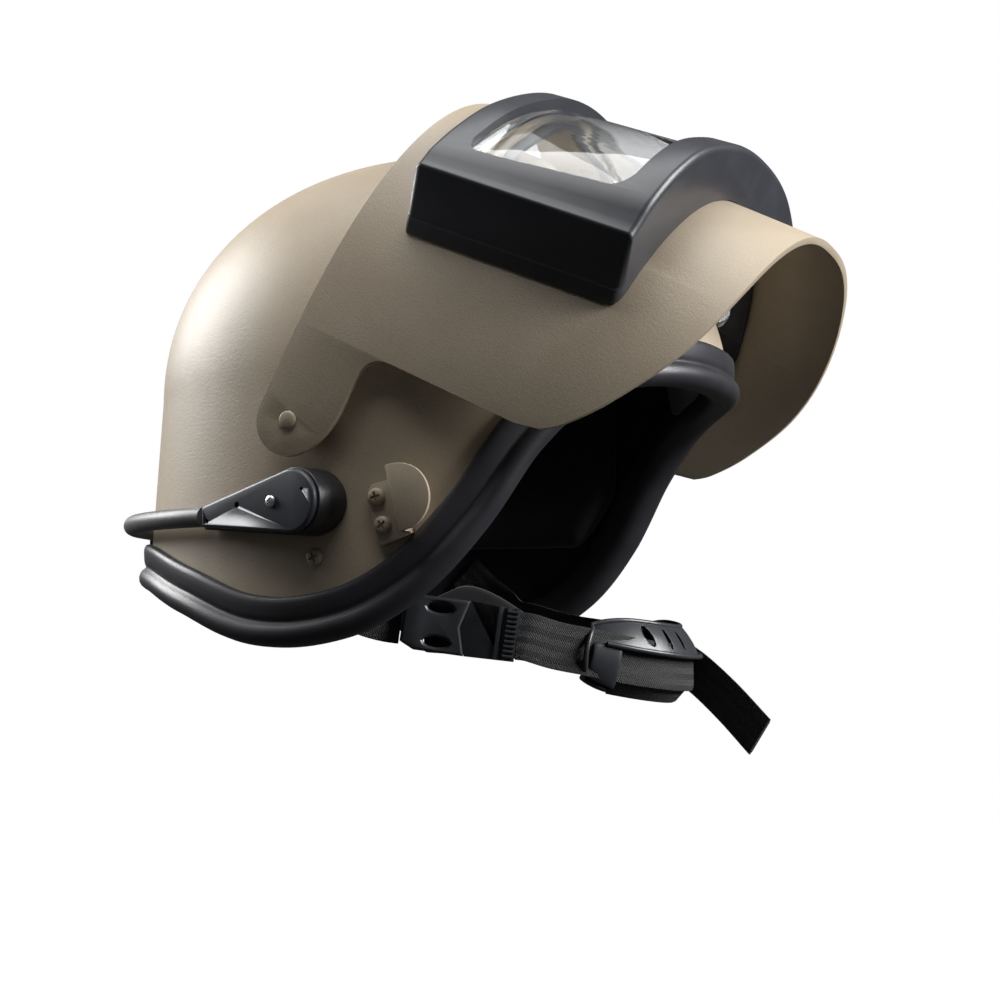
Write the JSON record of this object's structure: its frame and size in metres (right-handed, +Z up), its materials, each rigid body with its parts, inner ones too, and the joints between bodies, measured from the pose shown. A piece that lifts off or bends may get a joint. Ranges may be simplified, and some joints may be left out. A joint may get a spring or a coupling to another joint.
{
  "type": "ballistic helmet",
  "caption": "Ballistic helmet with a raised hinged visor and window, rubber rim, padded inside, chin strap with cup and side buckle",
  "frame": {"origin": "middle of the crown pad's underside, inside the dome, where the helmet rests on a head", "axes": "+Z up, the face opening towards -Y, the wearer's right towards -X"},
  "size_m": [0.2732, 0.3292, 0.2924],
  "materials": {
    "tan_paint": "matt tan paint with a fine grain",
    "trim_rubber": "dark grey moulded rubber with a soft sheen",
    "frame_rubber": "dark satin rubber",
    "window": "clear polished",
    "black_plastic": "black satin",
    "slate_plastic": "dark slate satin",
    "tube_grey": "grey matt",
    "steel": "plain steel",
    "webbing": "black woven webbing",
    "padding": "black brushed fabric over foam"
  },
  "bodies": {
    "helmet": {"shell": "tan_paint", "rim_trim": "trim_rubber", "pad_front": "padding", "pad_right": "padding", "pad_left": "padding", "pad_rear": "padding", "pad_crown": "padding", "hinge_rivet_right": "tan_paint", "hinge_rivet_left": "tan_paint", "stop_tab_right": "tan_paint", "stop_tab_left": "tan_paint", "tab_screw_right_1": "tan_paint", "tab_screw_right_2": "tan_paint", "tab_screw_left_1": "tan_paint", "tab_screw_left_2": "tan_paint", "ear_screw_right": "tan_paint", "ear_screw_left": "tan_paint", "housing_right": "black_plastic", "housing_left": "black_plastic", "housing_cover_right": "slate_plastic", "housing_cover_left": "slate_plastic", "housing_screw_right": "steel", "housing_screw_left": "steel", "rear_tube": "tube_grey", "tube_clip": "black_plastic", "rear_plate": "tan_paint", "strap_right": "webbing", "buckle_socket": "black_plastic", "buckle_clip": "black_plastic", "strap_front": "webbing", "buckle_backing": "padding", "chin_cup": "black_plastic", "strap_tail": "webbing"},
    "visor": {"visor_plate": "tan_paint", "window_frame": "frame_rubber", "window_glass": "window", "window_bezel": "trim_rubber", "bezel_bolt_1": "steel", "bezel_bolt_2": "steel", "bezel_bolt_3": "steel", "bezel_bolt_4": "steel", "bezel_bolt_5": "steel", "bezel_bolt_6": "steel", "bezel_bolt_7": "steel"}
  },
  "joints": [
    {"name": "visor_hinge", "type": "hinge", "parent": "helmet", "child": "visor", "pos_m": [0, 0.022, -0.1092], "axis": [1, 0, 0], "range_deg": [0, 47]}
  ]
}
